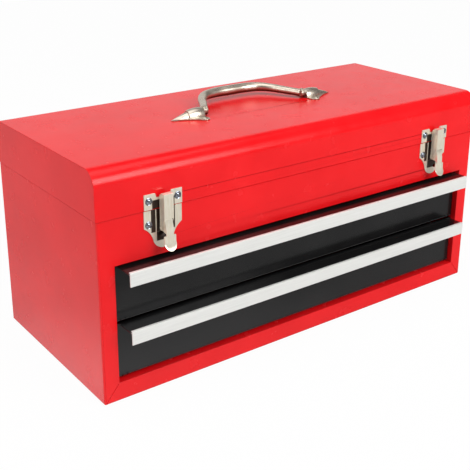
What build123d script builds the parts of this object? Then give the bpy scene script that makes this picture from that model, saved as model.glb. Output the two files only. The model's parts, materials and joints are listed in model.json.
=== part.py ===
from build123d import *
import os

# Portable steel tool box: a lift-up lid with a folding handle, two draw latches,
# an open top compartment and two drawers on ball-bearing slides.
# Millimetres, +Z up, front towards -Y, origin at the centre of the case's underside.

# overall sizes
case_width = 520.0
case_depth = 222.0
case_height = 193.5
lid_height = 48.5
sheet = 0.8

# case
bend_radius = 2.0
thin_bend = 0.7
side_frame = 17.0
bottom_frame = 20.0
front_panel_height = 48.5
frame_return = 10.0
upstand = 6.0
top_flange = 8.0
mitre_seam = 0.35

# lid
lid_overhang = 1.1
lid_split = 0.3
lid_front_radius = 17.0
lid_back_radius = 12.0

# piano hinge
knuckle_pitch = 30.0
knuckle_pairs = 8
knuckle_radius = 2.5
knuckle_gap = 0.3
hinge_pin_radius = 1.25
hinge_running = 0.05
leaf_thickness = 1.0
leaf_width = 14.0
barrel_standoff = 0.3

# drawers
drawer_pitch = 61.0
drawer_face_height = 59.0
drawer_floor_gap = 2.3
drawer_recess = 6.0
drawer_side_gap = 1.3
drawer_back_gap = 18.0
drawer_side_height = 46.0
drawer_hem = 5.0
lip_reach = 16.7
lip_end_gap = 4.0
pull_height = 14.8
pull_wall = 1.5
pull_end_gap = 6.5
pull_top = 1.0
pull_grip = 6.0
pull_cap = 1.4
drawer_bend = 1.7
pull_edge = 0.7

# ball-bearing slides
slide_thickness = 12.7
slide_end_room = 32.0
slide_overlap = 50.0
slide_wall = 1.2
slide_height = 30.0
slide_depth = 8.4
inner_slide_height = 21.2
inner_slide_depth = 8.2
ball_radius = 1.5
cage_length = 48.0
cage_wall = 0.6
balls_per_row = 2
slide_back_gap = 14.0

# draw latches: heights are from the split between lid and case, depths out from the front
latch_spacing = 378.0
plate_thickness = 1.0
plate_half_width = 21.2
base_top = -0.9
base_shoulder = -18.4
base_neck_half = 11.2
base_neck = -32.4
base_bottom = -41.3
strike_low = 0.4
strike_top = 16.0
strike_notch_half = 9.0
strike_notch_depth = 4.6
pivot_height = -12.5
pivot_depth = 7.0
pivot_radius = 1.2
link_pivot_height = -19.5
link_pivot_depth = 5.0
link_pivot_radius = 1.0
latch_running = 0.05
latch_wall = 0.8
link_half_width = 5.3
link_depth = 12.0
link_top = 16.2
link_web_bottom = -8.8
link_eye = 2.3
hook_drop = 4.0
hook_gap = 0.3
lever_half_width = 4.2
lever_wide = 6.6
lever_top = (10.6, -9.4)
lever_knee = (13.2, -18.3)
lever_flare = -25.4
lever_crease = (13.3, -32.0)
lever_tip = (15.6, -40.2)
ear_half_width = 3.2
tongue_half_width = 3.9
tongue_depth = 6.0
tongue_low = 7.6
tongue_top = 14.2
base_rivets = ((-16.4, -15.2), (5.6, -32.8))
strike_rivets = ((-16.2, 9.0), (16.2, 9.0))
rivet_radius = 2.0
rivet_head = 3.4
rivet_dome = 1.3

# handle
handle_pivot_spacing = 146.0
handle_pivot_height = 6.0
handle_y = -8.5
handle_lean = 84.0
handle_rise = 46.0
grip_radius = 5.0
handle_pin_radius = 2.6
handle_running = 0.08
collar_radius = 4.7
mount_length = 40.0
mount_plate = 1.4
mount_lobe = 19.4
mount_step = 0.8
mount_rivet_x = 6.4
mount_rivet_y = 14.6
mount_rivet_radius = 1.6
mount_rivet_head = 2.6
mount_rivet_dome = 1.1

# places that follow from the sizes above
half_width = case_width / 2
front = -case_depth / 2
back = case_depth / 2
opening_half = half_width - side_frame
opening_top = case_height - front_panel_height
lid_top = case_height + lid_height
lid_half = half_width + lid_overhang
lid_front = front - lid_overhang
hinge_y = back + barrel_standoff + knuckle_radius
hinge_z = case_height
pan_half = opening_half - slide_thickness
drawer_pan_depth = case_depth - drawer_recess - drawer_back_gap
slide_length = case_depth - slide_end_room
slide_front = back - sheet - slide_back_gap - slide_length
drawer_travel = slide_length - slide_overlap
pivot_z = lid_top + handle_pivot_height
handle_half = handle_pivot_spacing / 2

pieces = {}


def block(x_low, x_high, y_low, y_high, z_low, z_high):
    """A box between six planes."""
    size = Box(x_high - x_low, y_high - y_low, z_high - z_low)
    return Pos((x_low + x_high) / 2, (y_low + y_high) / 2, (z_low + z_high) / 2) * size


def mirrored_x(shape):
    return shape.mirror(Plane.YZ)


def rod(start, end, radius):
    """A round bar between two points."""
    axis = Vector(*end) - Vector(*start)
    ends = (Align.CENTER, Align.CENTER, Align.MIN)
    return Plane(origin=start, z_dir=axis) * Cylinder(radius, axis.length, align=ends)


def side_profile(points, x_low, x_high):
    """An outline of (y, z) points carried across from x_low to x_high."""
    face = make_face(Polyline([(0, y, z) for y, z in points], close=True))
    return Pos(x_low, 0, 0) * extrude(face, x_high - x_low, dir=(1, 0, 0))


# ---------------------------------------------------------------- case


def rounded_case(inset, y_high, z_high):
    """The case's outer form, drawn in by inset, with its bent edges rounded."""
    body = block(
        -half_width + inset, half_width - inset, front + inset, y_high, inset, z_high
    )
    radius = bend_radius - inset
    edges = body.edges().filter_by(Axis.Z).group_by(Axis.Y)[0]
    edges += body.edges().filter_by(Axis.Y).group_by(Axis.Z)[0]
    edges += body.edges().filter_by(Axis.X).group_by(Axis.Z)[0].group_by(Axis.Y)[0]
    return fillet(edges, radius)


def case_wrap():
    """Bottom, sides and the mitred front frame, folded from one sheet."""
    top = case_height + upstand
    wrap = rounded_case(0, back - sheet, top) - rounded_case(sheet, back, top + 1)
    wrap -= block(-opening_half, opening_half, front - 1, front + 3 * sheet, bottom_frame, top + 1)
    for side in (-1, 1):
        jamb = block(
            opening_half, opening_half + sheet, front, front + frame_return,
            bottom_frame - sheet, opening_top,
        )
        flange = block(
            half_width - sheet - top_flange, half_width - sheet / 2,
            front + sheet / 2, back - sheet, top - sheet, top,
        )
        seam = mitre_cut()
        if side < 0:
            jamb = mirrored_x(jamb)
            flange = mirrored_x(flange)
            seam = mirrored_x(seam)
        wrap += jamb
        wrap += flange
        wrap -= seam
    ledge = block(
        -opening_half - sheet, opening_half + sheet, front, front + frame_return,
        bottom_frame - sheet, bottom_frame,
    )
    return wrap + ledge


def mitre_cut():
    """The open seam where the bottom flange meets the right side flange."""
    corner = Vector(half_width - bend_radius, 0, bend_radius)
    inner = Vector(opening_half + sheet, 0, bottom_frame - sheet)
    along = inner - corner
    centre = (corner + inner) / 2
    turn = Vector(1, 0, 0).get_angle(Vector(-along.X, 0, along.Z))
    cut = Box(along.length, 4 * sheet, mitre_seam)
    return Pos(centre.X, front, centre.Z) * Rot(0, turn, 0) * cut


def case_back():
    panel = block(-half_width, half_width, back - sheet, back, 0, case_height - lid_split)
    panel = fillet(panel.edges().filter_by(Axis.Y).group_by(Axis.Z)[0], bend_radius)
    flange = block(
        -half_width + top_flange, half_width - top_flange, back - sheet - top_flange, back - sheet,
        case_height - lid_split - sheet, case_height - lid_split,
    )
    return panel + flange


def front_panel():
    """The fixed panel above the drawers, with its edges turned inwards."""
    half = opening_half
    top = case_height + upstand
    panel = block(-half, half, front, front + sheet, opening_top, top)
    panel += block(-half, half, front, front + frame_return, opening_top, opening_top + sheet)
    panel += block(-half, half, front, front + sheet + top_flange, top - sheet, top)
    edge = panel.edges().filter_by(Axis.X).group_by(Axis.Z)[0].group_by(Axis.Y)[0]
    panel = fillet(edge, thin_bend)
    for side in (-1, 1):
        for x, height in base_rivets:
            panel -= rivet_hole(side * latch_spacing / 2 + x, height, 0)
    return panel


def tray_floor():
    """The top compartment's floor, with its edges turned up against the walls."""
    low = opening_top + sheet
    half = half_width - sheet
    floor = block(-half, half, front + sheet, back - sheet, low, low + sheet)
    for side in (-1, 1):
        upturn = block(half - sheet, half, front + sheet, back - sheet, low, low + frame_return)
        floor += upturn if side > 0 else mirrored_x(upturn)
    floor += block(-half, half, back - 2 * sheet, back - sheet, low, low + frame_return)
    return floor & rounded_case(sheet, back, case_height)


def slide_mount():
    """The right-hand channel that holds both slides off the side wall."""
    low = bottom_frame + drawer_floor_gap
    high = opening_top - drawer_floor_gap
    inner = opening_half
    outer = half_width - sheet
    y_low = slide_front
    y_high = slide_front + slide_length
    web = block(inner, inner + sheet, y_low, y_high, low, high)
    web += block(inner, outer, y_low, y_high, low, low + sheet)
    web += block(inner, outer, y_low, y_high, high - sheet, high)
    return web


# ---------------------------------------------------------------- slides


def drawer_low(level):
    """The underside of a drawer, level 0 below and 1 above."""
    return bottom_frame + drawer_floor_gap + level * drawer_pitch


def slide_centre(level):
    return drawer_low(level) + drawer_face_height / 2 - 3


def channel(x_web, x_open, y_low, y_high, z_mid, height, wall):
    """A C-section rail whose web stands at x_web and whose flanges reach to x_open."""
    step = 1 if x_open > x_web else -1
    low_x, high_x = sorted((x_web, x_open))
    rail = block(low_x, high_x, y_low, y_high, z_mid - height / 2, z_mid + height / 2)
    cut_low, cut_high = sorted((x_web + step * wall, x_open + step))
    half = height / 2 - wall
    return rail - block(cut_low, cut_high, y_low - 1, y_high + 1, z_mid - half, z_mid + half)


def outer_slide(level):
    """The right-hand slide member fixed to the case."""
    web = opening_half
    return channel(
        web, web - slide_depth, slide_front, slide_front + slide_length,
        slide_centre(level), slide_height, slide_wall,
    )


def inner_slide(level):
    """The right-hand slide member fixed to the drawer."""
    return channel(
        pan_half, pan_half + inner_slide_depth, slide_front, slide_front + slide_length,
        slide_centre(level), inner_slide_height, slide_wall,
    )


def ball_cage(level):
    """The right-hand cage and its balls, which run at half the drawer's travel."""
    z_mid = slide_centre(level)
    start = slide_front + drawer_travel / 2 + (slide_length - drawer_travel - cage_length) / 2
    race = (inner_slide_height / 2 + slide_height / 2 - slide_wall) / 2
    web = opening_half - slide_wall - 1.6
    edge = opening_half - slide_depth + 0.6
    cage = channel(
        web, edge, start, start + cage_length, z_mid, 2 * race + cage_wall, cage_wall
    )
    middle = (web + edge) / 2 - 0.3
    pitch = cage_length / balls_per_row
    for row in (-1, 1):
        for index in range(balls_per_row):
            ball = Sphere(ball_radius)
            cage += Pos(middle, start + (index + 0.5) * pitch, z_mid + row * race) * ball
    return cage


# ---------------------------------------------------------------- drawers


def drawer_pan(level):
    """Face, lip and open pan, folded from sheet."""
    low = drawer_low(level)
    face_half = opening_half - drawer_side_gap
    y_face = front + drawer_recess
    y_back = y_face + drawer_pan_depth
    top = low + drawer_face_height
    pan = block(-face_half, face_half, y_face, y_face + sheet, low, top)
    pan += block(
        -face_half + lip_end_gap, face_half - lip_end_gap, front - lip_reach, y_face + sheet,
        top - sheet, top,
    )
    pan += block(-face_half, face_half, y_face, y_face + frame_return, low, low + sheet)
    bend = pan.edges().filter_by(Axis.X).group_by(Axis.Z)[0].group_by(Axis.Y)[0]
    pan = fillet(bend, drawer_bend)
    pan += block(-pan_half, pan_half, y_face, y_back, low, low + sheet)
    rim = low + drawer_side_height
    for side in (-1, 1):
        wall = block(pan_half - sheet, pan_half, y_face, y_back, low, rim)
        wall += block(pan_half - drawer_hem, pan_half, y_face, y_back, rim - sheet, rim)
        pan += wall if side > 0 else mirrored_x(wall)
    pan += block(-pan_half, pan_half, y_back - sheet, y_back, low, rim)
    pan += block(-pan_half, pan_half, y_back - drawer_hem, y_back, rim - sheet, rim)
    return pan


def drawer_pull(level):
    """The extruded strip that grips the lip and hangs down as a finger pull."""
    top = drawer_low(level) + drawer_face_height
    half = opening_half - pull_end_gap
    y_outer = front - lip_reach - pull_wall
    y_wall = y_outer + pull_wall
    z_low = top + pull_top - pull_height
    z_high = top + pull_top
    y_grip = y_wall + pull_grip
    outline = [
        (y_outer, z_low), (y_wall, z_low), (y_wall, top - sheet - pull_top),
        (y_grip, top - sheet - pull_top), (y_grip, top - sheet), (y_wall, top - sheet),
        (y_wall, top), (y_wall + pull_cap, top), (y_wall + pull_cap, z_high), (y_outer, z_high),
    ]
    strip = side_profile(outline, -half, half)
    along = strip.edges().filter_by(Axis.X)
    upper = along.group_by(Axis.Y)[0].group_by(Axis.Z)[-1]
    lower = along.group_by(Axis.Y)[0].group_by(Axis.Z)[0]
    return fillet(upper + lower, pull_edge)


# ---------------------------------------------------------------- lid


def lid_outline(inset, y_front, y_back, z_low):
    """The lid's section, drawn in by inset, open at z_low."""
    y_low = y_front + inset
    y_high = y_back - inset
    top = lid_top - inset
    front_radius = lid_front_radius - inset
    back_radius = lid_back_radius - inset
    lines = [
        Line((0, y_low, z_low), (0, y_low, top - front_radius)),
        TangentArc((0, y_low, top - front_radius), (0, y_low + front_radius, top), tangent=(0, 0, 1)),
        Line((0, y_low + front_radius, top), (0, y_high - back_radius, top)),
        TangentArc((0, y_high - back_radius, top), (0, y_high, top - back_radius), tangent=(0, 1, 0)),
        Line((0, y_high, top - back_radius), (0, y_high, z_low)),
        Line((0, y_high, z_low), (0, y_low, z_low)),
    ]
    return make_face(lines)


def lid_solid(inset, x_half, z_low):
    face = lid_outline(inset, lid_front, back, z_low)
    return Pos(-x_half, 0, 0) * extrude(face, 2 * x_half, dir=(1, 0, 0))


def lid_shell():
    """Front, top and back of the lid, rolled from one sheet."""
    shell = lid_solid(0, lid_half, case_height) - lid_solid(sheet, lid_half + 1, case_height - 1)
    shell -= block(
        -lid_half - 1, lid_half + 1, back - 2 * sheet, back + 1, case_height - 1, case_height + lid_split,
    )
    for side in (-1, 1):
        for x, height in strike_rivets:
            shell -= rivet_hole(side * latch_spacing / 2 + x, height, lid_overhang)
        for hand in (-1, 1):
            rivet_x = side * (handle_half + mount_rivet_x)
            rivet_y = handle_y + hand * mount_rivet_y
            shell -= Pos(rivet_x, rivet_y, lid_top) * Cylinder(mount_rivet_radius, 3 * sheet)
    return shell


def lid_end():
    """The right-hand end panel, set inside the shell, with a hem at its lower edge."""
    panel = extrude(lid_outline(sheet, lid_front, back, case_height), sheet, dir=(1, 0, 0))
    panel = Pos(lid_half - sheet, 0, 0) * panel
    slot = block(
        lid_half - 2 * sheet, lid_half + 1, back - 3 * sheet, back, case_height - 1, case_height + lid_split,
    )
    return panel - slot


# ---------------------------------------------------------------- piano hinge


def hinge_leaf(upper):
    """One leaf of the piano hinge with its share of the knuckles."""
    half = knuckle_pitch * knuckle_pairs
    rise = 1 if upper else -1
    clear = knuckle_radius + knuckle_gap
    z_near = hinge_z + rise * clear
    z_far = hinge_z + rise * leaf_width
    low, high = sorted((z_near, z_far))
    leaf = block(-half, half, back, back + leaf_thickness, low, high)
    for index in range(2 * knuckle_pairs):
        if (index % 2 == 0) == upper:
            continue
        x_low = -half + index * knuckle_pitch + knuckle_gap / 2
        x_high = x_low + knuckle_pitch - knuckle_gap
        leaf += rod((x_low, hinge_y, hinge_z), (x_high, hinge_y, hinge_z), knuckle_radius)
        tab_low, tab_high = sorted((z_near, hinge_z + rise * knuckle_radius * 0.3))
        leaf += block(x_low, x_high, back + barrel_standoff, back + leaf_thickness, tab_low, tab_high)
    bore = rod((-half, hinge_y, hinge_z), (half, hinge_y, hinge_z), hinge_pin_radius + hinge_running)
    return leaf - bore


def hinge_pin():
    half = knuckle_pitch * knuckle_pairs
    return rod((-half, hinge_y, hinge_z), (half, hinge_y, hinge_z), hinge_pin_radius)


# ---------------------------------------------------------------- latches
# Each latch is drawn at x = 0 in the plane of the case front: depth is measured
# out from the front, and height from the line where the lid meets the case.


def latch_point(depth, height, x=0.0):
    return (x, front - depth, case_height + height)


def latch_rod(depth, height, half, radius):
    return rod(latch_point(depth, height, -half), latch_point(depth, height, half), radius)


def latch_side(points, x_low, x_high):
    """A plate cut to (depth, height) points, standing square to the front."""
    return side_profile([(front - depth, case_height + height) for depth, height in points], x_low, x_high)


def flat_plate(lines, depth, thickness):
    """A plate cut to an outline of (x, height), lying against the front."""
    face = make_face(lines)
    return Pos(0, front - depth, case_height) * extrude(Rot(90, 0, 0) * face, thickness, dir=(0, -1, 0))


def latch_base():
    """Base plate with a shield outline and the two ears that carry the lever."""
    wide = plate_half_width
    right = [
        Line((wide, base_top), (wide, base_shoulder)),
        ThreePointArc((wide, base_shoulder), (0.69 * wide, -24.4), (base_neck_half, base_neck)),
        ThreePointArc((base_neck_half, base_neck), (0.64 * base_neck_half, -38.6), (0, base_bottom)),
    ]
    left = [line.mirror(Plane.YZ) for line in right]
    base = flat_plate(right + left + [Line((-wide, base_top), (wide, base_top))], 0, plate_thickness)
    reach = 2 * pivot_radius
    ear_points = [
        (0, pivot_height - 5.5), (pivot_depth, pivot_height - reach),
        (pivot_depth, pivot_height + reach), (0, pivot_height + reach),
    ]
    for side in (-1, 1):
        x_low, x_high = sorted((side * (ear_half_width - latch_wall), side * ear_half_width))
        base += latch_side(ear_points, x_low, x_high)
        start = latch_point(pivot_depth, pivot_height, x_low)
        base += rod(start, latch_point(pivot_depth, pivot_height, x_high), reach)
    base -= latch_rod(pivot_depth, pivot_height, 2 * ear_half_width, pivot_radius + latch_running)
    for x, height in base_rivets:
        base -= rivet_hole(x, height, 0)
    return base


def rivet_hole(x, height, depth):
    """The hole for a rivet, through a plate and the sheet behind it."""
    return rod(latch_point(depth - 2 * sheet, height, x), latch_point(depth + 3, height, x), rivet_radius)


def rivet(x, height, depth):
    """A domed rivet, its head on a plate that starts at depth, its shank through the sheet."""
    seat = depth + plate_thickness
    shank = rod(latch_point(depth - sheet, height, x), latch_point(seat, height, x), rivet_radius)
    ball = (rivet_head**2 + rivet_dome**2) / (2 * rivet_dome)
    dome = Pos(*latch_point(seat + rivet_dome - ball, height, x)) * Sphere(ball)
    keep = rod(latch_point(seat, height, x), latch_point(seat + rivet_dome + 1, height, x), rivet_head)
    return shank + (dome & keep)


def rounded_tip(half, low, high):
    """A prism with a round lower end, seen from the front, that trims the finger tab."""
    lines = [
        Line((-half, high), (half, high)), Line((half, high), (half, low + half)),
        ThreePointArc((half, low + half), (0, low), (-half, low + half)),
        Line((-half, low + half), (-half, high)),
    ]
    return flat_plate(lines, 0, 2 * link_depth)


def latch_lever():
    """Lever with two cheeks between the link's, a flared face and a rounded finger tab."""
    top, knee, crease, tip = lever_top, lever_knee, lever_crease, lever_tip
    wall = latch_wall
    face = [
        top, knee, (crease[0], crease[1]), (crease[0] - wall, crease[1]),
        (knee[0] - wall, knee[1] - wall / 2), (top[0] - wall, top[1] - wall / 2),
    ]
    lever = latch_side(face, -lever_half_width, lever_half_width)
    flare = [
        (knee[0], lever_flare), crease, tip, (tip[0] - wall, tip[1]),
        (crease[0] - wall, crease[1]), (knee[0] - wall, lever_flare),
    ]
    lever += latch_side(flare, -lever_wide, lever_wide) & rounded_tip(lever_wide, tip[1], 0)
    near = (pivot_depth - 2.4, pivot_height)
    cheek = [
        (top[0] - wall / 2, top[1] - wall / 2), (pivot_depth - 1.6, pivot_height + 2.2), near,
        (link_pivot_depth - link_eye, link_pivot_height), (link_pivot_depth, link_pivot_height - link_eye),
        (knee[0] - wall / 2, lever_flare + 2), (knee[0] - wall / 2, knee[1]),
    ]
    for side in (-1, 1):
        x_low, x_high = sorted((side * (lever_half_width - wall), side * lever_half_width))
        lever += latch_side(cheek, x_low, x_high)
    lever -= latch_rod(pivot_depth, pivot_height, 2 * lever_half_width, pivot_radius + latch_running)
    lever -= latch_rod(link_pivot_depth, link_pivot_height, 2 * lever_half_width, link_pivot_radius)
    return lever


def link_pin():
    """The pin that carries the link, fixed in the lever's cheeks."""
    return latch_rod(link_pivot_depth, link_pivot_height, link_half_width + 0.5, link_pivot_radius)


def lever_pin():
    return latch_rod(pivot_depth, pivot_height, lever_half_width + 0.1, pivot_radius)


def latch_link():
    """Channel-shaped link: web in front, two cheeks, and a hook turned in at the top."""
    outer = link_depth
    inner = outer - latch_wall
    lip = tongue_depth + hook_gap
    web = [
        (inner, link_web_bottom), (outer, link_web_bottom), (outer, link_top),
        (lip, link_top), (lip, link_top - hook_drop), (lip + latch_wall, link_top - hook_drop),
        (lip + latch_wall, link_top - latch_wall), (inner, link_top - latch_wall),
    ]
    link = latch_side(web, -link_half_width, link_half_width)
    eye = (link_pivot_depth, link_pivot_height)
    cheek = [
        (outer - 0.2, link_top - 1.2), (outer - 0.2, link_web_bottom), (eye[0] + link_eye, eye[1]),
        (eye[0], eye[1] - link_eye), (eye[0] - link_eye, eye[1]),
        (3.4, link_web_bottom - 4.2), (3.4, link_top - 2.5), (4.6, link_top - 1.2),
    ]
    for side in (-1, 1):
        x_low, x_high = sorted((side * (link_half_width - latch_wall), side * link_half_width))
        link += latch_side(cheek, x_low, x_high)
        start = latch_point(eye[0], eye[1], x_low)
        link += rod(start, latch_point(eye[0], eye[1], x_high), link_eye)
    link -= latch_rod(eye[0], eye[1], 2 * link_half_width, link_pivot_radius + latch_running)
    return link


def latch_strike():
    """Strike plate on the lid, notched at the top, with a tongue raised towards the hook."""
    wide = plate_half_width
    notch = strike_notch_half
    slope = 1.5
    dip = strike_top - strike_notch_depth
    points = [
        (-wide, strike_low), (wide, strike_low), (wide, strike_top), (notch, strike_top),
        (notch - slope, dip), (slope - notch, dip), (-notch, strike_top), (-wide, strike_top),
    ]
    plate = flat_plate([Polyline(points, close=True)], lid_overhang, plate_thickness)
    base = lid_overhang + plate_thickness
    tongue = [
        (lid_overhang, tongue_low - 1), (base, tongue_low - 1), (tongue_depth, tongue_low + 1.2),
        (tongue_depth, tongue_top), (tongue_depth - plate_thickness, tongue_top),
        (tongue_depth - plate_thickness, tongue_low + 1.8), (base, tongue_low + 0.4),
        (lid_overhang, tongue_low + 0.4),
    ]
    strike = plate + latch_side(tongue, -tongue_half_width, tongue_half_width)
    for x, height in strike_rivets:
        strike -= rivet_hole(x, height, lid_overhang)
    return strike


# ---------------------------------------------------------------- handle


def dome_section(x, half, height):
    """A half ellipse standing across the lid at x."""
    across = Plane(origin=(x, handle_y, lid_top), x_dir=(0, 1, 0), z_dir=(1, 0, 0))
    upper = Pos(0, height) * Rectangle(3 * half, 2 * height)
    return across * (Ellipse(half, height) & upper).face()


def handle_mount():
    """The right-hand leaf-shaped mount: plate, raised socket for the handle's pin, stepped tip."""
    inner = handle_half
    tip = inner + mount_length
    right = [
        Line((inner, 0), (inner, 0.72 * mount_lobe)),
        ThreePointArc((inner, 0.72 * mount_lobe), (inner + 4.4, mount_lobe), (inner + 11, 0.8 * mount_lobe)),
        ThreePointArc((inner + 11, 0.8 * mount_lobe), (inner + 21, 0.44 * mount_lobe), (tip, 0)),
    ]
    outline = right + [line.mirror(Plane.XZ) for line in right]
    mount = Pos(0, handle_y, lid_top) * extrude(make_face(outline), mount_plate)
    socket = ((0, 7.0, 10.0), (9, 7.8, 10.6), (20, 6.6, 9.0))
    spur = ((20, 6.6 * mount_step, 9.0 * mount_step), (28, 4.0, 5.0), (37, 1.2, 1.8))
    for sections in (socket, spur):
        mount += loft([dome_section(inner + along, half, height) for along, half, height in sections])
    hole_end = inner + 12
    start = (inner - 1, handle_y, pivot_z)
    mount -= rod(start, (hole_end, handle_y, pivot_z), handle_pin_radius + handle_running)
    for side in (-1, 1):
        spot = Pos(inner + mount_rivet_x, handle_y + side * mount_rivet_y, lid_top)
        mount -= spot * Cylinder(mount_rivet_radius, 3 * mount_plate)
    return mount


def handle_rivet(x, y):
    """A domed rivet holding a mount to the lid."""
    radius = mount_rivet_radius
    head = mount_rivet_head
    rise = mount_rivet_dome
    seat = lid_top + mount_plate
    shank = rod((x, y, lid_top - sheet), (x, y, seat), radius)
    ball = (head**2 + rise**2) / (2 * rise)
    dome = Pos(x, y, seat + rise - ball) * Sphere(ball)
    keep = rod((x, y, seat), (x, y, seat + rise + 1), head)
    return shank + (dome & keep)


def handle_grip():
    """The arched bar with a pin and collar at each end, drawn leaning back over the lid."""
    end = handle_half - 4.6
    shoulder = 0.56 * handle_half
    rise = handle_rise
    side_rise = 0.92 * rise
    corners = [
        (-end, 0, 0), (-shoulder, 0, side_rise), (0, 0, 1.04 * rise), (shoulder, 0, side_rise), (end, 0, 0),
    ]
    path = FilletPolyline(*corners, radius=(26, 190, 26))
    start = Vector(*corners[0])
    bar = sweep(Plane(origin=start, z_dir=Vector(*corners[1]) - start) * Circle(grip_radius), path)
    for side in (-1, 1):
        neck = (side * (handle_half - 6), 0, 0)
        bar += rod(neck, (side * (handle_half - 0.3), 0, 0), collar_radius)
        bar += rod(neck, (side * (handle_half + 11), 0, 0), handle_pin_radius)
    return Pos(0, handle_y, pivot_z) * Rot(-handle_lean, 0, 0) * bar


# ---------------------------------------------------------------- assembly


def build_case():
    pieces["case_wrap"] = [case_wrap()]
    pieces["case_back"] = [case_back()]
    pieces["front_panel"] = [front_panel()]
    pieces["tray_floor"] = [tray_floor()]
    pieces["hinge_leaf_case"] = [hinge_leaf(False)]
    pieces["hinge_pin"] = [hinge_pin()]
    pieces["slide_mount_right"] = [slide_mount()]
    pieces["slide_mount_left"] = [mirrored_x(slide_mount())]


def build_drawers():
    for level, name in enumerate(("lower", "upper")):
        pieces[f"drawer_pan_{name}"] = [drawer_pan(level)]
        pieces[f"drawer_pull_{name}"] = [drawer_pull(level)]
        makers = {"slide_outer": outer_slide, "slide_inner": inner_slide, "ball_cage": ball_cage}
        for kind, maker in makers.items():
            rail = maker(level)
            pieces[f"{kind}_{name}_right"] = [rail]
            pieces[f"{kind}_{name}_left"] = [mirrored_x(rail)]


def build_lid():
    pieces["lid_shell"] = [lid_shell()]
    pieces["lid_end_right"] = [lid_end()]
    pieces["lid_end_left"] = [mirrored_x(lid_end())]
    pieces["hinge_leaf_lid"] = [hinge_leaf(True)]
    pieces["handle_mount_right"] = [handle_mount()]
    pieces["handle_mount_left"] = [mirrored_x(handle_mount())]
    pieces["handle_grip"] = [handle_grip()]
    x = handle_half + mount_rivet_x
    y_low = handle_y - mount_rivet_y
    y_high = handle_y + mount_rivet_y
    pieces["handle_rivets"] = [handle_rivet(side * x, y) for side in (-1, 1) for y in (y_low, y_high)]


def build_latches():
    case_rivets = []
    lid_rivets = []
    for side, name in ((-1, "left"), (1, "right")):
        place = Pos(side * latch_spacing / 2, 0, 0)
        makers = {
            "latch_base": latch_base, "latch_lever": latch_lever, "latch_link": latch_link,
            "latch_strike": latch_strike, "lever_pin": lever_pin, "link_pin": link_pin,
        }
        for kind, maker in makers.items():
            pieces[f"{kind}_{name}"] = [place * maker()]
        case_rivets += [place * rivet(x, height, 0) for x, height in base_rivets]
        lid_rivets += [place * rivet(x, height, lid_overhang) for x, height in strike_rivets]
    pieces["latch_rivets_case"] = case_rivets
    pieces["latch_rivets_lid"] = lid_rivets


def write_pieces():
    os.makedirs("parts", exist_ok=True)
    for name, solids in pieces.items():
        shape = solids[0]
        if len(solids) > 1:
            shape = Compound(children=[Solid(each.solid().wrapped) for each in solids])
        export_step(shape, f"parts/{name}.step")
        print(name, round(shape.volume, 1))


build_case()
build_drawers()
build_lid()
build_latches()
write_pieces()
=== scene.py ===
import json
from math import radians

import bpy
from mathutils import Matrix, Vector

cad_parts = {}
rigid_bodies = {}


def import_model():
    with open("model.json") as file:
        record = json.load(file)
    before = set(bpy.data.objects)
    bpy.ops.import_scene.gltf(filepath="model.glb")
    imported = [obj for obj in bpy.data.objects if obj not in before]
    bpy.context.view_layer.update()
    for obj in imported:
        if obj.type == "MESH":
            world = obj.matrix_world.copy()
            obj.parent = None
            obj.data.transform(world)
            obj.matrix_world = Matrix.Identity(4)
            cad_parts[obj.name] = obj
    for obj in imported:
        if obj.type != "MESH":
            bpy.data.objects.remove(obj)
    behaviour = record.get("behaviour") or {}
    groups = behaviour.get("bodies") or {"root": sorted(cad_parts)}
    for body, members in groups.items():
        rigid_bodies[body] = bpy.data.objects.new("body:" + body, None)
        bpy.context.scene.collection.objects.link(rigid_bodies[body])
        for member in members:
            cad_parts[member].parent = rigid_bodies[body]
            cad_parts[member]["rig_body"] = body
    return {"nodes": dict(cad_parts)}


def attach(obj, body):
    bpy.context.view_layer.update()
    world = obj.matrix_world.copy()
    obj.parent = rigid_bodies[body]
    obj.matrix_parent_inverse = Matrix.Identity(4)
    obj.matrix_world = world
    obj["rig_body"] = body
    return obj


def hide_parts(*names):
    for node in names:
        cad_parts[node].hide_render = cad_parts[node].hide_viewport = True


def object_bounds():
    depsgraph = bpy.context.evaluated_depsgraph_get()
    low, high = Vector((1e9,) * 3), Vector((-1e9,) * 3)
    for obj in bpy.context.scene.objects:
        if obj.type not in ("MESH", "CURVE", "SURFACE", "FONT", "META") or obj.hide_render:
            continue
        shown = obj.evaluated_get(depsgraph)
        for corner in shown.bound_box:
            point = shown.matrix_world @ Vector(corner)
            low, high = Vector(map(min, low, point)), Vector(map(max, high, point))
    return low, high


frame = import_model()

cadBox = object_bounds()
print("stage: frame loaded,", len(frame["nodes"]), "nodes")
mm = 0.001


# camera: fitted to the edges of the box in a 470 x 470 frame
camera = {
    "place": (-0.6040, -0.7901, 0.4973),
    "turn": 36.41,          # degrees to the right of straight in
    "dip": 18.92,           # degrees below level
    "roll": 0.22,
    "lens": 68.2,
    "sensor": 36.0,
    "shiftUp": -60 / 470,
    "farthest": 50,
}


def addCamera(c):
    data = bpy.data.cameras.new("viewCamera")
    data.lens = c["lens"]
    data.sensor_width = c["sensor"]
    data.shift_y = c["shiftUp"]
    data.clip_end = c["farthest"]
    eye = bpy.data.objects.new("viewCamera", data)
    bpy.context.scene.collection.objects.link(eye)
    eye.matrix_world = (
        Matrix.Translation(c["place"])
        @ Matrix.Rotation(-radians(c["turn"]), 4, "Z")
        @ Matrix.Rotation(radians(90 - c["dip"]), 4, "X")
        @ Matrix.Rotation(radians(c["roll"]), 4, "Z")
    )
    bpy.context.scene.camera = eye


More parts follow.
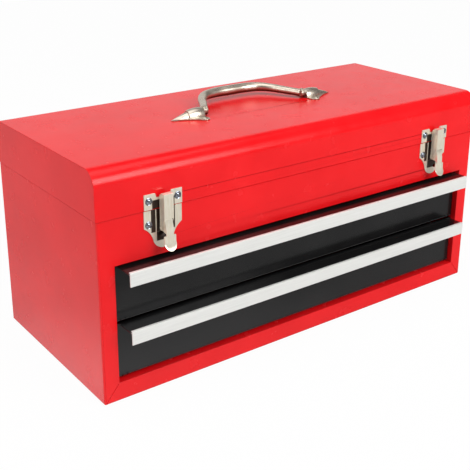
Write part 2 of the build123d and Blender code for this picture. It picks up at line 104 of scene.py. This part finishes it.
# studio: pale floor, white backdrop, soft lamps
# what the box mirrors is dimmer than the white that the camera sees
studio = {
    "floor": {
        "size": 14.0,
        "below": 0.0005,        # metres under the box, so that the two never share a plane
        "colour": (0.80, 0.80, 0.80, 1), "rough": 0.7, "specular": 0.1,
        "white": 0.97,          # share of plain white in the floor the camera sees
        # brightness of the mirrored floor along a line that runs from front right to back left
        "slope": (-0.6, 0.8), "middle": 0.5,
        "mirror": [(0.0, 0.45), (0.30, 0.45), (0.42, 0.8), (0.62, 1.35), (0.78, 0.76), (1.0, 0.6)],
        "brightest": 2,         # the ramp holds shares of this
    },
    "skyLight": (0.95, 0.97, 1.0, 1),
    "sky": {"camera": 1.0, "mirror": 0.06, "light": 0.34},
    "backdrop": {"size": (9.0, 3.0), "place": (1.4, 2.6, 1.5), "camera": 1.0, "mirror": 0.70, "light": 0.5},
    "lamps": [
        # name, place, aimed at, size, power
        ("topLamp", (-0.2, -0.3, 2.1), (0, 0, 0.15), 2.2, 26),
        ("frontLamp", (0.7, -2.1, 1.3), (0, 0, 0.12), 1.2, 35),
        ("leftLamp", (-2.0, -0.2, 1.1), (-0.3, 0, 0.10), 1.2, 11),
    ],
}


def mathOf(tree, operation, first, second):
    node = tree.nodes.new("ShaderNodeMath")
    node.operation = operation
    for socket, value in zip(node.inputs, (first, second)):
        if isinstance(value, (int, float)):
            socket.default_value = value
        else:
            tree.links.new(value, socket)
    return node.outputs[0]


def strengthByRay(tree, s):
    # one strength for camera rays, one for mirrored rays, one for light
    path = tree.nodes.new("ShaderNodeLightPath")
    seen = mathOf(tree, "MULTIPLY", path.outputs["Is Camera Ray"], s["camera"] - s["light"])
    mirrored = mathOf(tree, "MULTIPLY", path.outputs["Is Glossy Ray"], s["mirror"] - s["light"])
    return mathOf(tree, "ADD", mathOf(tree, "ADD", seen, mirrored), s["light"])


def axesOf(tree, output):
    # the three parts of a texture coordinate
    place = tree.nodes.new("ShaderNodeTexCoord")
    parts = tree.nodes.new("ShaderNodeSeparateXYZ")
    tree.links.new(place.outputs[output], parts.inputs[0])
    return parts.outputs


def mixOf(tree, share, first, second):
    mix = tree.nodes.new("ShaderNodeMixShader")
    for socket, value in zip(mix.inputs, (share, first, second)):
        tree.links.new(value, socket)
    return mix.outputs[0]


def rampOf(tree, value, stops):
    ramp = tree.nodes.new("ShaderNodeValToRGB")
    for index, (place, colour) in enumerate(stops):
        if index > 1:
            ramp.color_ramp.elements.new(place)
        ramp.color_ramp.elements[index].position = place
        ramp.color_ramp.elements[index].color = (*colour, 1)
    tree.links.new(value, ramp.inputs["Fac"])
    return ramp.outputs["Color"]


def newMaterial(name):
    mat = bpy.data.materials.new(name)
    mat.use_nodes = True
    return mat, mat.node_tree, mat.node_tree.nodes["Principled BSDF"]


def floorMaterial(f):
    mat, tree, shader = newMaterial("paleFloor")
    shader.inputs["Base Color"].default_value = f["colour"]
    shader.inputs["Roughness"].default_value = f["rough"]
    shader.inputs["Specular IOR Level"].default_value = f["specular"]
    path = tree.nodes.new("ShaderNodeLightPath")
    white = tree.nodes.new("ShaderNodeEmission")
    share = mathOf(tree, "MULTIPLY", path.outputs["Is Camera Ray"], f["white"])
    seen = mixOf(tree, share, shader.outputs[0], white.outputs[0])
    # the mirrored floor is brightest close to the left end of the box
    axes = axesOf(tree, "Object")
    across = mathOf(tree, "MULTIPLY", axes["X"], f["slope"][0])
    along = mathOf(tree, "MULTIPLY", axes["Y"], f["slope"][1])
    reach = mathOf(tree, "ADD", mathOf(tree, "ADD", across, along), f["middle"])
    glow = tree.nodes.new("ShaderNodeEmission")
    glow.inputs["Strength"].default_value = f["brightest"]
    stops = [(stop, (value / f["brightest"],) * 3) for stop, value in f["mirror"]]
    tree.links.new(rampOf(tree, reach, stops), glow.inputs["Color"])
    mirrored = mixOf(tree, path.outputs["Is Glossy Ray"], seen, glow.outputs[0])
    tree.links.new(mirrored, tree.nodes["Material Output"].inputs["Surface"])
    return mat


def backdropMaterial(card):
    mat, tree, shader = newMaterial("backdropWhite")
    tree.nodes.remove(shader)
    white = tree.nodes.new("ShaderNodeEmission")
    tree.links.new(strengthByRay(tree, card), white.inputs["Strength"])
    tree.links.new(white.outputs[0], tree.nodes["Material Output"].inputs["Surface"])
    return mat


def addLamp(name, place, target, size, power):
    light = bpy.data.lights.new(name, "AREA")
    light.energy = power
    light.size = size
    lamp = bpy.data.objects.new(name, light)
    lamp.location = place
    lamp.rotation_euler = (Vector(target) - Vector(place)).to_track_quat("-Z", "Y").to_euler()
    bpy.context.scene.collection.objects.link(lamp)


def addStudio(s):
    scene = bpy.context.scene
    scene.view_settings.view_transform = "Standard"
    scene.world = bpy.data.worlds.new("studioWorld")
    scene.world.use_nodes = True
    tree = scene.world.node_tree
    plain = tree.nodes["Background"]
    plain.inputs["Color"].default_value = s["skyLight"]
    tree.links.new(strengthByRay(tree, s["sky"]), plain.inputs["Strength"])
    for lamp in s["lamps"]:
        addLamp(*lamp)
    bpy.ops.mesh.primitive_plane_add(size=s["floor"]["size"], location=(0, 0, -s["floor"]["below"]))
    floor = bpy.context.object
    floor.name = "studioFloor"
    floor.data.materials.append(floorMaterial(s["floor"]))
    # upright white card far behind the box, mirrored in the lid
    card = s["backdrop"]
    bpy.ops.mesh.primitive_plane_add(size=1, location=card["place"], rotation=(radians(90), 0, 0))
    backdrop = bpy.context.object
    backdrop.name = "studioBackdrop"
    backdrop.scale = (*card["size"], 1)
    backdrop.data.materials.append(backdropMaterial(card))


# materials: all from noise in object space, so that grain keeps its real size
def noiseOf(tree, scale, stretch=(1, 1, 1), detail=2.0):
    # fine noise: scale in cells per metre, stretched along one axis for brushed grain
    place = tree.nodes.new("ShaderNodeTexCoord")
    mapping = tree.nodes.new("ShaderNodeMapping")
    mapping.inputs["Scale"].default_value = stretch
    noise = tree.nodes.new("ShaderNodeTexNoise")
    noise.inputs["Scale"].default_value = scale
    noise.inputs["Detail"].default_value = detail
    tree.links.new(place.outputs["Object"], mapping.inputs["Vector"])
    tree.links.new(mapping.outputs[0], noise.inputs["Vector"])
    return noise.outputs["Fac"]


def rangeOf(tree, value, start, full, low=0, high=1):
    change = tree.nodes.new("ShaderNodeMapRange")
    change.inputs["From Min"].default_value = start
    change.inputs["From Max"].default_value = full
    change.inputs["To Min"].default_value = low
    change.inputs["To Max"].default_value = high
    tree.links.new(value, change.inputs["Value"])
    return change.outputs["Result"]


def paintLightByNormal(tree, colour, under, start, full):
    # painted light: another colour on faces that look down at rest, from start to full slope
    down = rangeOf(tree, axesOf(tree, "Normal")["Z"], start, full)
    blend = tree.nodes.new("ShaderNodeMix")
    blend.data_type = "RGBA"
    tree.links.new(down, blend.inputs["Factor"])
    tree.links.new(colour, blend.inputs["A"])
    blend.inputs["B"].default_value = (*under, 1)
    return blend.outputs["Result"]


def addBumps(tree, shader, layers):
    # each layer: height pattern and how deep it is in metres
    normal = None
    for value, depth in layers:
        bump = tree.nodes.new("ShaderNodeBump")
        bump.inputs["Distance"].default_value = depth
        bump.inputs["Strength"].default_value = 1.0
        tree.links.new(value, bump.inputs["Height"])
        if normal:
            tree.links.new(normal, bump.inputs["Normal"])
        normal = bump.outputs["Normal"]
    tree.links.new(normal, shader.inputs["Normal"])


# noise patterns that the finishes share: cells per metre and detail
patterns = {"drift": (14, 3), "gloss": (55, 4), "wave": (6, 1), "peel": (240, 1), "handling": (120, 4)}
middleBand = (0.32, 0.68)       # the noise values that are spread over a finish's roughness range


def patternOf(tree, name):
    scale, detail = patterns[name]
    return noiseOf(tree, scale, detail=detail)


def roughenBy(tree, shader, pattern, rough):
    spread = rangeOf(tree, patternOf(tree, pattern), *middleBand, *rough)
    tree.links.new(spread, shader.inputs["Roughness"])


enamels = {
    "redEnamel": {
        "dark": (0.77, 0.0050, 0.0080), "light": (0.85, 0.0075, 0.0110), "rough": (0.20, 0.28),
        "peel": 0.000012, "wave": 0.0002, "ior": 1.35,
    },
    "blackEnamel": {
        "dark": (0.0065, 0.0062, 0.0065), "light": (0.011, 0.0105, 0.0105), "rough": (0.17, 0.24),
        "peel": 0.000012, "wave": 0.0002, "ior": 1.42,
        "bend": (0.17, 0.165, 0.165), "bendHighlightSlopes": (-0.2, -0.45),      # painted highlight: lighter colour on the lower bends, which turn down towards the floor
    },
}


def enamelMaterial(name, e):
    mat, tree, shader = newMaterial(name)
    colour = rampOf(tree, patternOf(tree, "drift"), [(0.35, e["dark"]), (0.65, e["light"])])
    # painted highlight: a lighter colour on faces that look down, for an enamel's lower bends
    if "bend" in e:
        colour = paintLightByNormal(tree, colour, e["bend"], *e["bendHighlightSlopes"])
    tree.links.new(colour, shader.inputs["Base Color"])
    roughenBy(tree, shader, "gloss", e["rough"])
    shader.inputs["IOR"].default_value = e["ior"]
    addBumps(tree, shader, [(patternOf(tree, "wave"), e["wave"]), (patternOf(tree, "peel"), e["peel"])])
    return mat


metals = {
    # stretch below 1 draws the grain out along that axis
    "satinAluminium": {
        "dark": (0.72, 0.72, 0.69), "light": (0.78, 0.78, 0.75), "rough": (0.34, 0.42),
        "scale": 900, "stretch": (0.03, 1, 1), "depth": 0.000005, "metal": 0.15,
    },
    "zincSteel": {
        "dark": (0.42, 0.43, 0.44), "light": (0.62, 0.63, 0.63), "rough": (0.28, 0.48),
        "scale": 160, "stretch": (1, 1, 1), "depth": 0.00002, "metal": 1.0,
    },
    "latchNickel": {
        "dark": (0.80, 0.72, 0.57), "light": (0.90, 0.84, 0.70), "rough": (0.14, 0.24),
        "scale": 500, "stretch": (1, 1, 0.2), "depth": 0.000003, "metal": 0.5,
    },
    "handleNickel": {
        "dark": (0.60, 0.52, 0.42), "light": (0.74, 0.66, 0.55), "rough": (0.26, 0.34),
        "scale": 420, "stretch": (0.4, 1, 1), "depth": 0.000003, "metal": 0.85,
        "under": (0.11, 0.075, 0.04), "underShadeSlopes": (0.15, -0.45),     # painted shade: dark brown on the underside, where the bar lies in shadow
    },
    # painted shade for the latch channel floors, which lie in shadow
    "latchPaintedShade": {
        "dark": (0.022, 0.012, 0.008), "light": (0.060, 0.034, 0.022), "rough": (0.35, 0.5),
        "scale": 300, "stretch": (1, 1, 0.3), "depth": 0.00002, "metal": 0.4,
    },
    "rivetSteel": {
        "dark": (0.26, 0.29, 0.34), "light": (0.42, 0.46, 0.52), "rough": (0.10, 0.20),
        "scale": 700, "stretch": (1, 1, 1), "depth": 0.00001, "metal": 1.0,
    },
}


def metalMaterial(name, m):
    mat, tree, shader = newMaterial(name)
    grain = noiseOf(tree, m["scale"], m["stretch"], 3)
    colour = rampOf(tree, grain, [(0.3, m["dark"]), (0.7, m["light"])])
    # painted shade: a dark colour on faces that look down, for the handle bar's underside
    if "under" in m:
        colour = paintLightByNormal(tree, colour, m["under"], *m["underShadeSlopes"])
    tree.links.new(colour, shader.inputs["Base Color"])
    roughenBy(tree, shader, "handling", m["rough"])
    shader.inputs["Metallic"].default_value = m["metal"]
    addBumps(tree, shader, [(grain, m["depth"])])
    return mat


materials = {name: enamelMaterial(name, e) for name, e in enamels.items()}
materials.update({name: metalMaterial(name, m) for name, m in metals.items()})
print("stage: materials")


# tools for the pieces
merging = {"reach": 0.000002, "flatWithin": 0.6}       # metres between points, degrees between faces
edges = {"segments": 2, "sharpFrom": 28, "smoothUnder": 32}


def only(obj):
    bpy.ops.object.select_all(action="DESELECT")
    obj.select_set(True)
    bpy.context.view_layer.objects.active = obj


def applied(obj, kind, **settings):
    only(obj)
    modifier = obj.modifiers.new("step", kind)
    for name, value in settings.items():
        setattr(modifier, name, value)
    bpy.ops.object.modifier_apply(modifier=modifier.name)


def mergeFaces(obj):
    # flat faces whole again, but split where an outline turns inwards
    only(obj)
    bpy.ops.object.mode_set(mode="EDIT")
    bpy.ops.mesh.select_all(action="SELECT")
    bpy.ops.mesh.remove_doubles(threshold=merging["reach"])
    bpy.ops.mesh.dissolve_limited(angle_limit=radians(merging["flatWithin"]))
    bpy.ops.mesh.vert_connect_concave()
    bpy.ops.object.mode_set(mode="OBJECT")


def copyOf(node):
    # the CAD node's mesh in a new object
    obj = bpy.data.objects.new(node + ".soft", frame["nodes"][node].data.copy())
    bpy.context.scene.collection.objects.link(obj)
    mergeFaces(obj)
    return obj


def roundEdges(obj, width):
    applied(
        obj, "BEVEL", width=width * mm, segments=edges["segments"], limit_method="ANGLE",
        angle_limit=radians(edges["sharpFrom"]), use_clamp_overlap=False,
    )
    only(obj)
    bpy.ops.object.shade_smooth_by_angle(angle=radians(edges["smoothUnder"]))
    applied(obj, "WEIGHTED_NORMAL", keep_sharp=True)


def boxAt(low, high):
    # a plain box between two corners given in mm, for cutting
    centre = [(a + b) / 2 * mm for a, b in zip(low, high)]
    bpy.ops.mesh.primitive_cube_add(size=1, location=centre)
    cutter = bpy.context.object
    cutter.scale = [(b - a) * mm for a, b in zip(low, high)]
    bpy.ops.object.transform_apply(location=True, rotation=True, scale=True)
    return cutter


def cut(obj, other, operation="DIFFERENCE"):
    applied(obj, "BOOLEAN", object=other, operation=operation, solver="EXACT")
    bpy.data.objects.remove(other)


def joined(parts, name):
    bpy.ops.object.select_all(action="DESELECT")
    for part in parts:
        part.select_set(True)
    bpy.context.view_layer.objects.active = parts[0]
    bpy.ops.object.join()
    whole = bpy.context.object
    whole.name = name
    bpy.ops.object.transform_apply(location=True, rotation=True, scale=True)
    return whole


def cornersOf(node):
    # lowest and highest corner of a CAD node, in metres
    corners = [Vector(corner) for corner in frame["nodes"][node].bound_box]
    return [[pick(corner[axis] for corner in corners) for axis in range(3)] for pick in (min, max)]


def keepInside(obj, low, high):
    # no bevel corner stands out past the given box
    for point in obj.data.vertices:
        point.co = [min(max(value, a), b) for value, a, b in zip(point.co, low, high)]


def dress(obj, material):
    obj.data.materials.clear()
    obj.data.materials.append(materials[material])


def placePiece(obj, material, body, *nodes):
    # gives a finished piece its material and its body, in place of the nodes it stands for
    keepInside(obj, *cadBox)
    dress(obj, material)
    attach(obj, body)
    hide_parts(*nodes)


# where the box's faces lie in mm, read from the frame
inMm = {
    node: [[round(value / mm, 2) for value in corner] for corner in cornersOf(node)]
    for node in ("case_wrap", "lid_shell", "latch_base_right", "drawer_pan_lower", "drawer_pan_upper")
}
box = {
    "halfWidth": inMm["case_wrap"][1][0],
    "front": inMm["case_wrap"][0][1],
    "wrapBack": inMm["case_wrap"][1][1],
    "split": inMm["lid_shell"][0][2],
    "lidFront": inMm["lid_shell"][0][1],
    "lidTop": inMm["lid_shell"][1][2],
    "latchAside": (inMm["latch_base_right"][0][0] + inMm["latch_base_right"][1][0]) / 2,
    "handleY": -8.5,        # the handle's turning line, as in the CAD
}


# how each CAD node is finished: material, edge rounding in mm
# nodes without rounding keep their CAD mesh, or a piece made below stands for them
finishes = {
    "case_wrap": ("redEnamel", 0), "front_panel": ("redEnamel", 0), "case_back": ("redEnamel", 0.22),
    "tray_floor": ("redEnamel", 0.2), "slide_mount": ("redEnamel", 0.2), "lid_shell": ("redEnamel", 0.25),
    "lid_end": ("redEnamel", 0.22), "drawer_pan": ("blackEnamel", 0), "drawer_pull": ("satinAluminium", 0.2),
    "slide_outer": ("zincSteel", 0.25), "slide_inner": ("zincSteel", 0.25), "ball_cage": ("zincSteel", 0),
    "hinge_leaf": ("zincSteel", 0), "hinge_pin": ("zincSteel", 0), "handle_mount": ("handleNickel", 0.25),
    "handle_grip": ("handleNickel", 0), "handle_rivets": ("handleNickel", 0),
    "latch_base": ("latchNickel", 0), "latch_lever": ("latchNickel", 0), "latch_strike": ("latchNickel", 0),
    "latch_link": ("latchNickel", 0.18), "latch_rivets": ("latchNickel", 0),
    "lever_pin": ("latchNickel", 0), "link_pin": ("latchNickel", 0),
}


def finishNodes():
    for node in sorted(frame["nodes"]):
        material, width = finishes[next(start for start in finishes if node.startswith(start))]
        if width:
            piece = copyOf(node)
            roundEdges(piece, width)
            keepInside(piece, *cornersOf(node))
            placePiece(piece, material, frame["nodes"][node]["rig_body"], node)
        dress(frame["nodes"][node], material)


# case skin: wrap and front panel in one, with the groove that darkens the line under the lid
caseSkin = {"below": 1.1, "above": 0.5, "deep": 0.6, "spare": 1, "rounding": 0.2}


def buildCaseSkin(c):
    skin = copyOf("case_wrap")
    cut(skin, copyOf("front_panel"), "UNION")
    low = box["split"] - c["below"]
    high = box["split"] + c["above"]
    wide = box["halfWidth"] + c["spare"]
    outside = box["front"] - c["spare"]
    cut(skin, boxAt((-wide, outside, low), (wide, box["front"] + c["deep"], high)))
    for side in (-1, 1):
        near, far = sorted((side * (box["halfWidth"] - c["deep"]), side * wide))
        cut(skin, boxAt((near, outside, low), (far, box["wrapBack"], high)))
    mergeFaces(skin)
    roundEdges(skin, c["rounding"])
    placePiece(skin, "redEnamel", "case", "case_wrap", "front_panel")


# drawers: the CAD pan with its lower bend rounded right across
drawers = {"bend": 1.7, "recess": 6, "half": 236.0, "spare": 1, "around": 48, "rounding": 0.15}


def buildDrawer(level, d):
    node = "drawer_pan_" + level
    pan = copyOf(node)
    face = box["front"] + d["recess"]
    low = inMm[node][0][2]
    y, z = face + d["bend"], low + d["bend"]      # middle of the bend
    corner = boxAt((-d["half"], face - d["spare"], low - d["spare"]), (d["half"], y, z))
    bpy.ops.mesh.primitive_cylinder_add(
        vertices=d["around"], radius=d["bend"] * mm, depth=1, location=(0, y * mm, z * mm),
        rotation=(0, radians(90), 0),
    )
    cut(corner, bpy.context.object)
    cut(pan, corner)
    mergeFaces(pan)
    roundEdges(pan, d["rounding"])
    placePiece(pan, "blackEnamel", "drawer_" + level, node)


# latch: the CAD plates with a sunken channel whose floor carries painted shade, and the CAD lever with a tip
# that curls out
latch = {
    "channels": {
        # depths in front of the case front: channel floor and plate face
        # boxes: half width, bottom and top from the lid line
        # ridge: the strip between these two half widths is left standing
        "latch_base": {
            "body": "case", "floor": 0.3, "face": 1.0,
            "boxes": [(13.4, -24, 0), (8.6, -33.5, -24)], "ridge": (7.4, 8.3),
        },
        "latch_strike": {
            "body": "lid", "floor": 1.4, "face": 2.1,
            "boxes": [(12.5, 0, 9.2)], "ridge": (0, 4.0),
        },
    },
    "spare": 0.2, "plateRounding": 0.12,
    "shade": {"near": 0.05, "facing": -0.9},        # which faces count as the channel floor
    "crease": -33.0, "slope": 0.22,                 # the lever leans out below the crease
    "leverRounding": 0.15,
}


def shadeFloor(plate, y):
    # painted shade: dark brown on the channel floor, chosen by where the faces lie
    plate.data.materials.append(materials["latchPaintedShade"])
    for face in plate.data.polygons:
        near = abs(face.center.y - y * mm) < latch["shade"]["near"] * mm
        if near and face.normal.y < latch["shade"]["facing"]:
            face.material_index = 1


def buildPlate(start, name, middle, c):
    node = start + "_" + name
    k = c["channels"][start]
    plate = copyOf(node)
    inner, outer = k["ridge"]
    front = box["front"] - k["face"] - c["spare"]
    floor = box["front"] - k["floor"]
    for half, low, high in k["boxes"]:
        spans = [(-half, -outer), (outer, half)]
        if inner:
            spans.append((-inner, inner))
        for left, right in spans:
            cut(plate, boxAt(
                (middle + left, front, box["split"] + low), (middle + right, floor, box["split"] + high),
            ))
    mergeFaces(plate)
    roundEdges(plate, c["plateRounding"])
    placePiece(plate, "latchNickel", k["body"], node)
    shadeFloor(plate, floor)


def buildLever(name, c):
    node = "latch_lever_" + name
    lever = copyOf(node)
    crease = (box["split"] + c["crease"]) * mm
    for point in lever.data.vertices:
        if point.co.z < crease:
            point.co.y -= c["slope"] * (crease - point.co.z)
    roundEdges(lever, c["leverRounding"])
    placePiece(lever, "latchNickel", node, node)


# handle: bar drawn through measured points, thickest in the middle, lying back over the lid
handle = {
    "pivotHeight": 248, "lean": 86,
    "points": [
        # across, out along the lean, radius
        (-68.8, 0.5, 4.4), (-66.2, 5.5, 4.3), (-58.0, 19.5, 4.5), (-49.5, 34.0, 4.9), (-39.0, 43.8, 5.4),
        (-24.0, 48.2, 5.8), (0, 49.0, 6.0),
    ],
    "collar": (67.0, 72.7, 4.7), "pin": (72.0, 83.6, 2.6),      # from, to, radius
    "beads": (68.6, 71.2), "beadRadius": 0.75, "endRounding": 0.5, "around": 40, "smoothUnder": 40,
}


def buildHandle(h):
    half = h["points"]
    whole = half + [(-x, out, radius) for x, out, radius in reversed(half[:-1])]
    bpy.ops.curve.primitive_bezier_curve_add()
    bar = bpy.context.object
    curve = bar.data
    curve.dimensions = "3D"
    curve.bevel_depth = mm
    curve.bevel_resolution = 6
    curve.resolution_u = 8
    curve.use_fill_caps = True
    spline = curve.splines[0]
    spline.bezier_points.add(len(whole) - 2)
    for point, (x, out, radius) in zip(spline.bezier_points, whole):
        point.co = (x * mm, 0, out * mm)
        point.radius = radius
        point.handle_left_type = point.handle_right_type = "AUTO"
    bpy.ops.object.convert(target="MESH")
    parts = [bar]
    sideways = (0, radians(90), 0)
    for side in (-1, 1):
        for low, high, radius in (h["collar"], h["pin"]):
            bpy.ops.mesh.primitive_cylinder_add(
                vertices=h["around"], radius=radius * mm, depth=(high - low) * mm,
                location=(side * (low + high) / 2 * mm, 0, 0), rotation=sideways,
            )
            end = bpy.context.object
            applied(end, "BEVEL", width=h["endRounding"] * mm, segments=2, limit_method="ANGLE")
            parts.append(end)
        for x in h["beads"]:
            bpy.ops.mesh.primitive_torus_add(
                major_radius=h["collar"][2] * mm, minor_radius=h["beadRadius"] * mm,
                major_segments=h["around"], minor_segments=10,
                location=(side * x * mm, 0, 0), rotation=sideways,
            )
            parts.append(bpy.context.object)
    grip = joined(parts, "handleGrip")
    pivot = Matrix.Translation((0, box["handleY"] * mm, h["pivotHeight"] * mm))
    grip.data.transform(pivot @ Matrix.Rotation(radians(-h["lean"]), 4, "X"))
    only(grip)
    bpy.ops.object.shade_smooth_by_angle(angle=radians(h["smoothUnder"]))
    placePiece(grip, "handleNickel", "handle", "handle_grip")


# rivets: domed head with a rolled rim, one mesh for each group
rivetHead = {"domeShare": 0.72, "rimInset": 0.45, "rimRadius": 0.5, "around": 28, "smoothUnder": 40}
latchHead = {"radius": 3.9, "rise": 1.7, "material": "rivetSteel", "turn": 90}
rivets = {
    "latch_rivets_case": {
        "at": [
            (side * box["latchAside"] - 16.4, box["front"] - 1.0, box["split"] - 15.2)
            for side in (-1, 1)
        ],
        "body": "case", **latchHead,
    },
    "latch_rivets_lid": {
        "at": [
            (side * box["latchAside"] + x, box["lidFront"] - 1.0, box["split"] + 9)
            for side in (-1, 1) for x in (-16.2, 16.2)
        ],
        "body": "lid", **latchHead,
    },
    "handle_rivets": {
        "at": [
            (side * 79.4, box["handleY"] + y, box["lidTop"] + 1.4)
            for side in (-1, 1) for y in (-14.6, 14.6)
        ],
        "body": "lid", "radius": 2.6, "rise": 1.2, "material": "handleNickel", "turn": 0,
    },
}


def buildRivets(name, r, shape):
    heads = []
    dome = r["radius"] * shape["domeShare"]
    for place in r["at"]:
        bpy.ops.mesh.primitive_uv_sphere_add(
            segments=shape["around"], ring_count=shape["around"] // 2, radius=dome * mm,
        )
        top = bpy.context.object
        top.scale = (1, 1, r["rise"] / dome)
        bpy.ops.mesh.primitive_torus_add(
            major_radius=(r["radius"] - shape["rimInset"]) * mm, minor_radius=shape["rimRadius"] * mm,
            major_segments=shape["around"], minor_segments=8,
        )
        head = joined([top, bpy.context.object], "rivetHead")
        turn = Matrix.Rotation(radians(r["turn"]), 4, "X")
        head.data.transform(Matrix.Translation([v * mm for v in place]) @ turn)
        heads.append(head)
    group = joined(heads, name + ".heads")
    only(group)
    bpy.ops.object.shade_smooth_by_angle(angle=radians(shape["smoothUnder"]))
    placePiece(group, r["material"], r["body"], name)


finishNodes()
print("stage: CAD nodes finished")
buildCaseSkin(caseSkin)
print("stage: case skin")
for level in ("lower", "upper"):
    buildDrawer(level, drawers)
print("stage: drawers")
for side, name in ((-1, "left"), (1, "right")):
    for start in latch["channels"]:
        buildPlate(start, name, side * box["latchAside"], latch)
    buildLever(name, latch)
print("stage: latches")
buildHandle(handle)
for name, r in rivets.items():
    buildRivets(name, r, rivetHead)
print("stage: handle and rivets")

addCamera(camera)
addStudio(studio)
